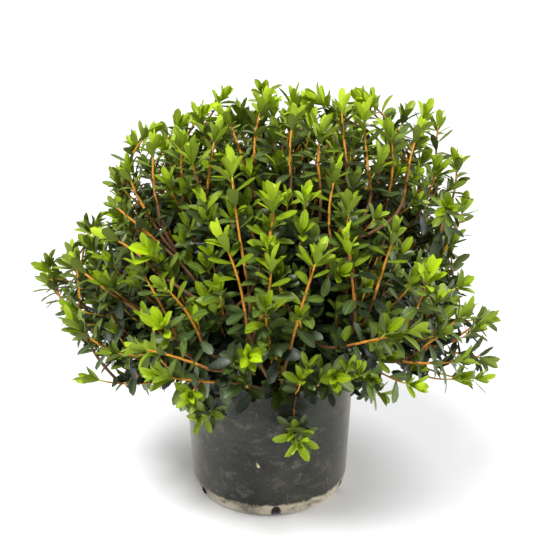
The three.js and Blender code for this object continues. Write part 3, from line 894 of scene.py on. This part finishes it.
def makeSkin(name, colour, roughness, skin):
    material, tree, shader = newMaterial(name, colour, roughness)
    patches, relief = addMottle(tree, skin["scale"], skin["grain"])
    uneven = addRange(tree, patches, roughness - skin["smoother"], roughness + 0.1)
    feed(tree, shader.inputs["Roughness"], uneven)
    addBump(tree, shader, relief, 0.5, skin["relief"])
    shader.inputs["Specular IOR Level"].default_value = skin["shine"] - skin["dulled"] * roughness
    return material


# fresh to old, each a name, its blade, its underside, how much lighter its rib is, and its roughness; Deep
# and Shade are darkened further as painted shade for the leaves inside the plant
leafTints = [
    ("Bud", (0.350, 0.490, 0.006), (0.360, 0.480, 0.018), 1.15, 0.5),
    ("Tender", (0.275, 0.405, 0.005), (0.290, 0.400, 0.016), 1.2, 0.46),
    ("Young", (0.238, 0.342, 0.005), (0.220, 0.315, 0.016), 1.25, 0.42),
    ("Fresh", (0.176, 0.252, 0.005), (0.175, 0.240, 0.020), 1.3, 0.38),
    ("Green", (0.114, 0.170, 0.006), (0.140, 0.185, 0.028), 1.35, 0.34),
    ("Mature", (0.066, 0.104, 0.013), (0.112, 0.146, 0.036), 1.6, 0.34),
    # painted shade: the two darkest tints, for the leaves deep inside
    ("Deep", (0.034, 0.057, 0.013), (0.074, 0.098, 0.032), 1.8, 0.33),
    ("Shade", (0.011, 0.020, 0.007), (0.032, 0.044, 0.018), 1.6, 0.33),
]


def tintOf(freshnessAndShade):
    return int(clamp(round((1 - freshnessAndShade) * (len(leafTints) - 1)), 0, len(leafTints) - 1))


def clearProud(leaves):
    # no leaf lies over the stem of a proud shoot
    middles = np.array([leaf["root"] + leaf["along"] * 0.5 for leaf in leaves])
    heights = np.linalg.norm(middles - np.array(heart), axis=1)
    hidden = np.zeros(len(leaves), bool)
    for shoot in proudShoots:
        for share in np.linspace(0.05, 0.7, 8):
            spot = pointOn(shoot["curve"], share)
            near = np.linalg.norm(middles - np.array(spot), axis=1) < sprays["clearance"]
            hidden |= near & (heights > (spot - heart).length - 0.002)
    own = np.array([leaf["kind"] == "proud" for leaf in leaves])
    return [leaf for leaf, gone in zip(leaves, hidden & ~own) if not gone]


def makeFoliage(twigs, foliageNodes):
    fullForms = [makeLeafTemplate(style, False) for style in leafStyles]
    plainForms = [makeLeafTemplate(style, True) for style in leafStyles]
    leaves = clearProud(spreadLeaves(twigs))
    print("leaves:", len(leaves))
    for index, (tint, colour, below, lighter, roughness) in enumerate(leafTints):
        shaded = tint in leafForm["plainTints"]
        blade = makeSkin(f"leaf{tint}", colour, roughness, leafSkin)
        pale = tuple(value * lighter for value in colour)
        rib = makeSkin(f"leafRib{tint}", pale, roughness + 0.04, leafSkin)
        under = makeSkin(f"leafUnder{tint}", below, 0.6, leafSkin)
        own = [leaf for leaf in leaves if tintOf(leaf["freshnessAndShade"]) == index]
        halves = {"Front": lambda leaf: leaf["root"].y < 0, "Back": lambda leaf: leaf["root"].y >= 0}
        parts = halves if shaded else {"": lambda leaf: True}
        for place, belongs in parts.items():
            chosen = [leaf for leaf in own if belongs(leaf)]
            batches = []
            for style, template in enumerate(plainForms if shaded else fullForms):
                same = [leaf for leaf in chosen if leaf["style"] == style]
                if same:
                    batches.append((template, leafPlaces(template, same)))
            piece = stamp(f"leaves{tint}{place}", batches, [blade, rib, under])
            print(piece.name, len(chosen), "leaves")
            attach(piece, "root")
            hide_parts(*foliageNodes)


def makeTwigs(stems, mains, fine, carriers, foliageNodes):
    bark = makeSkin("twigBark", (0.120, 0.058, 0.022), 0.8, twigSkin)
    brown = makeSkin("twigBrown", (0.250, 0.105, 0.020), 0.7, twigSkin)
    young = makeSkin("twigYoung", (0.440, 0.190, 0.018), 0.6, twigSkin)
    green = makeSkin("twigGreen", (0.430, 0.360, 0.035), 0.55, twigSkin)
    fineTwig = makeTubeTemplate(6, 8, (0.45, 0.9))
    longTwig = makeTubeTemplate(6, 12, (0.2, 0.92))
    woody = makeTubeTemplate(8, 8, ())

    def tapered(curves, thick, thin):
        return [(curve, lambda s: mix(thick, thin, s)) for curve in curves]

    thick = sprays["mainRadius"]
    proudOnes = [main["curve"] for main in mains if main["kind"] == "proud"]
    others = [twig["curve"] for twig in mains + fine if twig["kind"] != "proud"]
    slender = tapered(others, sprays["radius"], sprays["tipRadius"])
    long = tapered(proudOnes, thick, sprays["mainTipRadius"])
    bare = tapered(stems, stem["radius"], stem["tipRadius"]) + tapered(carriers, thick * 1.1, thick)
    for name, template, tubes, materials in (
        ("shoots", fineTwig, slender, [bark, young, green]),
        ("proudShoots", longTwig, long, [brown, young, green]),
        ("stems", woody, bare, [bark]),
    ):
        piece = stamp(name, [(template, tubePlaces(template, tubes))], materials)
        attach(piece, "root")
        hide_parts(*foliageNodes)


def makeBranches(limbs):
    template = makeTubeTemplate(18, 28, ())
    tubes = []
    for _, curve, size in limbs:
        tubes.append((curve, lambda s, size=size: mix(size["radius"], size["tipRadius"], s)))
    thick = makeTubeTemplate(36, 36, ())
    foot = tubePlaces(thick, [(trunkCurve, trunkRadius)])
    runs = tubePlaces(template, tubes)
    noise.seed_set(7)  # noise_vector would go by the clock without it
    for places in (foot, runs):
        for copy in places:
            for point in copy:
                place = Vector(point)
                ridges = noise.noise(Vector((place.x * 260, place.y * 260, place.z * 70)))
                point += np.array(noise.noise_vector(place * 90)) * 0.0006 + ridges * 0.0005
    material, tree, shader = newMaterial("bark", (0.1, 0.06, 0.04), 0.85)
    patches, relief = addMottle(tree, 120, 900)
    tone = mixColours(tree, patches, (0.055, 0.034, 0.022), (0.21, 0.15, 0.10))
    feed(tree, shader.inputs["Base Color"], tone)
    addBump(tree, shader, relief, 0.8, 0.0015)
    piece = stamp("branches", [(thick, foot), (template, runs)], [material])
    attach(piece, "root")
    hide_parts("trunk", *[name for name, _, _ in limbs])


# pot and soil
def potProfile():
    def footArc(inset, base, steps):
        points = []
        for i in range(steps + 1):
            turn = i / steps * math.pi / 2
            radius = mix(pot["baseRadius"], pot["footRadius"], math.sin(turn)) - inset
            points.append((radius, base + (pot["footHeight"] - base) * (1 - math.cos(turn))))
        return points

    def wallRadius(height):
        share = (height - pot["footHeight"]) / (pot["height"] - pot["footHeight"])
        return mix(pot["footRadius"], pot["rimRadius"], share)

    beadFoot = pot["height"] - pot["beadHeight"]
    lip, size = [], pot["lip"]
    out, level = pot["rimRadius"] + pot["beadWidth"] - size, pot["height"] - size
    for i in range(7):
        turn = math.pi * i / 6
        lip.append((out + size * math.cos(turn), level + size * math.sin(turn)))
    outside = [(0, 0), *footArc(0, 0, 12)]
    levels = np.linspace(pot["footHeight"], beadFoot - pot["beadWidth"], 12)[1:]
    outside += [(wallRadius(z), z) for z in levels]
    outside += [(pot["rimRadius"] + pot["beadWidth"] - 0.0004, beadFoot), *lip]
    inside = [(pot["rimRadius"] - pot["wall"], pot["height"] - 0.004)]
    inside += footArc(pot["wall"], pot["floor"], 12)[::-1] + [(0, pot["floor"])]
    return outside + inside


def drainCutters():
    shape = bmesh.new()
    half = drain["width"] / 2
    for i in range(drain["count"]):
        arch = [(-half, -0.002), (half, -0.002)]
        for k in range(13):
            turn = math.pi * k / 12
            arch.append((half * math.cos(turn), drain["height"] - half + half * math.sin(turn)))
        face = shape.faces.new([shape.verts.new((pot["baseRadius"] - 0.012, y, z)) for y, z in arch])
        pushed = bmesh.ops.extrude_face_region(shape, geom=[face])
        moved = [item for item in pushed["geom"] if isinstance(item, bmesh.types.BMVert)]
        bmesh.ops.translate(shape, verts=moved, vec=(drain["depth"], 0, 0))
        spot = math.radians(drain["firstAzimuth"] + i * 360 / drain["count"])
        matrix = Matrix.Rotation(spot, 3, "Z")
        bmesh.ops.rotate(shape, verts=list(face.verts) + moved, cent=(0, 0, 0), matrix=matrix)
    bmesh.ops.recalc_face_normals(shape, faces=shape.faces[:])
    return addPiece("drainCutters", shape)


def addPiece(name, shape):
    return addObject(name, toMesh(name, shape))


def makePot():
    shape = bmesh.new()
    line = [shape.verts.new((radius, 0, height)) for radius, height in potProfile()]
    edges = [shape.edges.new(pair) for pair in zip(line, line[1:])]
    whole = {"axis": (0, 0, 1), "angle": math.tau, "steps": pot["steps"], "use_merge": True}
    bmesh.ops.spin(shape, geom=line + edges, cent=(0, 0, 0), **whole)
    bmesh.ops.remove_doubles(shape, verts=shape.verts[:], dist=1e-6)
    bmesh.ops.recalc_face_normals(shape, faces=shape.faces[:])
    piece = addPiece("potShell", shape)
    cutter = drainCutters()
    holes = piece.modifiers.new("holes", "BOOLEAN")
    holes.object = cutter
    holes.solver = "EXACT"
    done = bpy.data.meshes.new_from_object(piece.evaluated_get(bpy.context.evaluated_depsgraph_get()))
    piece.modifiers.clear()
    piece.data = done
    bpy.data.objects.remove(cutter)
    for face in done.polygons:
        face.use_smooth = True
    done.set_sharp_from_angle(angle=math.radians(32))
    done.materials.clear()
    done.materials.append(makePotMaterial())
    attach(piece, "root")
    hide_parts("pot")


# what lies on the pot's wall, from below: its noise and the stretch of it, how much it covers at the most,
# the part of the noise that shows, and its colour
potFilms = {
    "haze": ({"scale": 8, "stretch": (1, 1, 1.6)}, 0.5, (0.46, 0.74), (0.078, 0.075, 0.052)),
    "clouds": (
        {"scale": 38, "stretch": (1, 1, 1.5), "detail": 8, "roughness": 0.75},
        0.5,
        (0.53, 0.74),
        (0.220, 0.205, 0.160),
    ),
    "scratches": (
        {"scale": 130, "stretch": (1, 1, 0.22), "detail": 3},
        1,
        (0.62, 0.70),
        (0.240, 0.230, 0.195),
    ),
    "specks": ({"scale": 460, "detail": 2}, 0.35, (0.65, 0.74), (0.32, 0.305, 0.265)),
}


def makePotMaterial():
    material, tree, shader = newMaterial("pot", (0.045, 0.048, 0.046), 0.5)
    place = tree.nodes.new("ShaderNodeTexCoord").outputs["Object"]

    def noiseAt(scale, stretch=(1, 1, 1), detail=5, roughness=0.6):
        turn = addNode(tree, "ShaderNodeMapping", Scale=stretch)
        pattern = addNode(tree, "ShaderNodeTexNoise", Scale=scale, Detail=detail, Roughness=roughness)
        feed(tree, turn.inputs["Vector"], place)
        feed(tree, pattern.inputs["Vector"], turn.outputs["Vector"])
        return pattern.outputs["Fac"]

    def noiseMask(low, high, limits, **pattern):
        return addRange(tree, noiseAt(**pattern), low, high, *limits)

    patches, relief = addMottle(tree, 18, 520)
    tone = addRange(tree, relief, 0, 1, 0.5, 0.9)
    wall = mixColours(tree, tone, (0.001, 0.002, 0.002), (0.015, 0.015, 0.011))
    for name, (pattern, most, limits, colour) in potFilms.items():
        mask = noiseMask(0, most, limits, **pattern)
        if name == "scratches":  # only here and there
            mask = addMath(tree, "MULTIPLY", mask, noiseMask(0, 0.35, (0.50, 0.62), scale=11))
        wall = mixColours(tree, mask, wall, colour)
    # dried soil on the rounded foot, with a ragged upper edge
    split = tree.nodes.new("ShaderNodeSeparateXYZ")
    feed(tree, split.inputs["Vector"], place)
    edge = addMath(tree, "MULTIPLY_ADD", noiseAt(34, detail=9, roughness=0.78), 0.026, split.outputs["Z"])
    band = addRange(tree, edge, 1, 0, 0.034, 0.038)
    blotches = noiseMask(1, 0.05, (0.53, 0.64), scale=95, detail=7, roughness=0.8)
    worn = noiseMask(0.4, 1, (0.38, 0.50), scale=13)
    crust = addMath(tree, "MULTIPLY", addMath(tree, "MULTIPLY", band, blotches), worn)
    grains = noiseAt(260, detail=6, roughness=0.85)
    wall = mixColours(tree, crust, wall, mixColours(tree, grains, (0.22, 0.17, 0.11), (0.78, 0.70, 0.54)))
    # the drain holes are darkened all round: partly a dark stain, partly painted shade in the holes' recesses
    azimuth = addMath(tree, "ARCTAN2", split.outputs["Y"], split.outputs["X"])
    first = -math.radians(drain["firstAzimuth"] * drain["count"])
    wave = addMath(tree, "COSINE", addMath(tree, "MULTIPLY_ADD", azimuth, drain["count"], first))
    low = addRange(tree, split.outputs["Z"], 1, 0, drain["height"] - 0.009, drain["height"] - 0.004)
    holeStainAndShade = addMath(tree, "MULTIPLY", addRange(tree, wave, 0, 1, 0.91, 0.95), low)
    feed(tree, shader.inputs["Base Color"], mixColours(tree, holeStainAndShade, wall, (0.012, 0.009, 0.006)))
    feed(tree, shader.inputs["Roughness"], addRange(tree, patches, 0.34, 0.6))
    shader.inputs["Specular IOR Level"].default_value = 0.25
    shader.inputs["Sheen Weight"].default_value = 1  # a film of dust
    shader.inputs["Sheen Roughness"].default_value = 0.35
    shader.inputs["Sheen Tint"].default_value = (1, 0.96, 0.86, 1)
    addBump(tree, shader, relief, 0.35, 0.0006)
    return material


# a dry scrap of petal that sticks to the pot
scrap = {"azimuth": -97, "height": 0.098, "length": 0.0085, "width": 0.0042, "thickness": 0.0004, "tilt": 28}


def makeScrap():
    shape = bmesh.new()
    bmesh.ops.create_grid(shape, x_segments=4, y_segments=6, size=0.5)
    for vert in shape.verts:
        along = vert.co.y + 0.5
        narrow = 0.35 + 0.65 * math.sin(math.pi * min(along + 0.12, 1))
        lift = 0.0006 * math.sin(along * 5) + 0.0009 * vert.co.x * vert.co.x
        vert.co = (vert.co.x * scrap["width"] * narrow, vert.co.y * scrap["length"], lift)
    bmesh.ops.solidify(shape, geom=shape.faces[:], thickness=scrap["thickness"])
    bmesh.ops.recalc_face_normals(shape, faces=shape.faces[:])
    share = (scrap["height"] - pot["footHeight"]) / (pot["height"] - pot["footHeight"])
    out = mix(pot["footRadius"], pot["rimRadius"], share) + 0.0012
    azimuth = math.radians(scrap["azimuth"])
    upright = Matrix.Rotation(azimuth + math.pi / 2, 4, "Z") @ Matrix.Rotation(math.pi / 2, 4, "X")
    upright = upright @ Matrix.Rotation(math.radians(scrap["tilt"]), 4, "Z")
    spot = Matrix.Translation((math.cos(azimuth) * out, math.sin(azimuth) * out, scrap["height"]))
    bmesh.ops.transform(shape, verts=shape.verts[:], matrix=spot @ upright)
    for face in shape.faces:
        face.smooth = True
    piece = addPiece("petalScrap", shape)
    material, tree, shader = newMaterial("dryPetal", (0.62, 0.55, 0.28), 0.7)
    patches, relief = addMottle(tree, 300, 1500)
    addBump(tree, shader, relief, 0.6, 0.0004)
    feed(tree, shader.inputs["Base Color"], mixColours(tree, patches, (0.45, 0.38, 0.16), (0.78, 0.72, 0.44)))
    piece.data.materials.append(material)
    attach(piece, "root")


def dressSoil():
    material, tree, shader = newMaterial("soil", (0.02, 0.015, 0.01), 0.95)
    patches, relief = addMottle(tree, 90, 600)
    tone = mixColours(tree, patches, (0.012, 0.009, 0.007), (0.060, 0.042, 0.028))
    feed(tree, shader.inputs["Base Color"], tone)
    addBump(tree, shader, relief, 1, 0.004)
    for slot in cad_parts["soil"].material_slots:
        slot.material = material


# stage, light and camera; each sun is where it stands, its strength and its softness in degrees
suns = {
    "key": ((-0.38, -0.6, 1.5), 5.4, 20),
    "right": ((1.5, -0.1, 0.5), 2.3, 40),
    "left": ((-1.5, -0.4, 0.6), 0.55, 40),
}
# the focal length is a multiple of the picture's width
view = {"place": (0.012, -1.2, 0.75), "tilt": 72, "sensor": 36, "focal": 789 / 553}


def mixShaders(tree, share, first, second):
    node = tree.nodes.new("ShaderNodeMixShader")
    for socket, value in zip(node.inputs, (share, first, second)):
        feed(tree, socket, value)
    return node.outputs["Shader"]


def makeStage():
    shape = bmesh.new()
    bmesh.ops.create_grid(shape, x_segments=1, y_segments=1, size=30)
    floor = addPiece("floor", shape)
    material, tree, shader = newMaterial("floor", (0.9, 0.9, 0.9), 0.8)
    shader.inputs["Specular IOR Level"].default_value = 0
    floor.data.materials.append(material)
    # what the camera sees of the floor is lifted, so that the shadow stays pale
    pale = addNode(tree, "ShaderNodeEmission", Color=(1, 1, 1, 1), Strength=1).outputs["Emission"]
    seen = tree.nodes.new("ShaderNodeLightPath").outputs["Is Camera Ray"]
    away = addNode(tree, "ShaderNodeVectorMath", {"operation": "LENGTH"})
    feed(tree, away.inputs[0], tree.nodes.new("ShaderNodeTexCoord").outputs["Object"])
    share = addMath(tree, "MULTIPLY", seen, addRange(tree, away.outputs["Value"], 0, 0.75, 0.11, 0.30))
    blend = mixShaders(tree, share, shader.outputs["BSDF"], pale)
    feed(tree, tree.nodes["Material Output"].inputs["Surface"], blend)
    floor.location.z = -0.0005
    makeWorld()
    for name, (place, strength, softness) in suns.items():
        light = bpy.data.lights.new(name, "SUN")
        light.energy = strength
        light.angle = math.radians(softness)
        addObject(name, light).rotation_euler = Vector(place).to_track_quat("Z", "Y").to_euler()


def makeWorld():
    # the camera sees white, and the plant is lit by a softer grey
    world = bpy.data.worlds.new("studio")
    world.use_nodes = True
    tree = world.node_tree
    seen = tree.nodes["Background"]
    seen.inputs["Color"].default_value = (1, 1, 1, 1)
    light = addNode(tree, "ShaderNodeBackground", Color=(1, 1, 1, 1), Strength=0.27).outputs["Background"]
    mirrored = addNode(tree, "ShaderNodeBackground", Color=(1, 1, 1, 1), Strength=0.8).outputs["Background"]
    path = tree.nodes.new("ShaderNodeLightPath").outputs
    unseen = mixShaders(tree, path["Is Glossy Ray"], light, mirrored)
    either = mixShaders(tree, path["Is Camera Ray"], unseen, seen.outputs["Background"])
    feed(tree, tree.nodes["World Output"].inputs["Surface"], either)
    bpy.context.scene.world = world


def makeCamera():
    lens = bpy.data.cameras.new("camera")
    lens.sensor_width = view["sensor"]
    lens.lens = view["focal"] * view["sensor"]
    camera = addObject("camera", lens)
    camera.location = view["place"]
    camera.rotation_euler = (math.radians(view["tilt"]), 0, 0)
    bpy.context.scene.camera = camera


makeCamera()
makeStage()
makePot()
makeScrap()
dressSoil()
print("pot and stage made")

limbs, masses = limbPlan()
makeBranches(limbs)
foliageNodes = [mass["name"] for mass in masses]
stems, mainShoots = growMainShoots(masses)
for shoot in mainShoots:
    shoot["curve"] = extendMain(shoot)


def outerShare(part):
    return mix(sprays["longest"], sprays["shortest"], part**1.5)


def innerShare(part):
    return mix(*sprays["innerShare"], part)


fineShoots = growSprays(mainShoots, stems, sprays["count"], outerShare, sprays["seed"])
fineShoots += growSprays(mainShoots, stems, sprays["innerCount"], innerShare, sprays["innerSeed"])
carriers, proudShoots = growProud(mainShoots, stems)
curls = []
for shoot in mainShoots:
    if shoot["leaves"] < 1:
        curls.append(curlUp(shoot, 1, 0, shoot.get("tip", "curl")))
        curls += [curlUp(shoot, share, turn, "side") for share, turn in sprays["sideCurls"]]
twigs = mainShoots + proudShoots + fineShoots + curls
for twig in twigs:
    twig["length"] = lengthOf(twig["curve"])
print("shoots:", len(mainShoots), "main,", len(proudShoots), "proud and", len(fineShoots), "fine")
makeTwigs(stems, mainShoots + proudShoots, fineShoots + curls, carriers, foliageNodes)
makeFoliage(twigs, foliageNodes)

bpy.context.scene.view_settings.view_transform = "Standard"
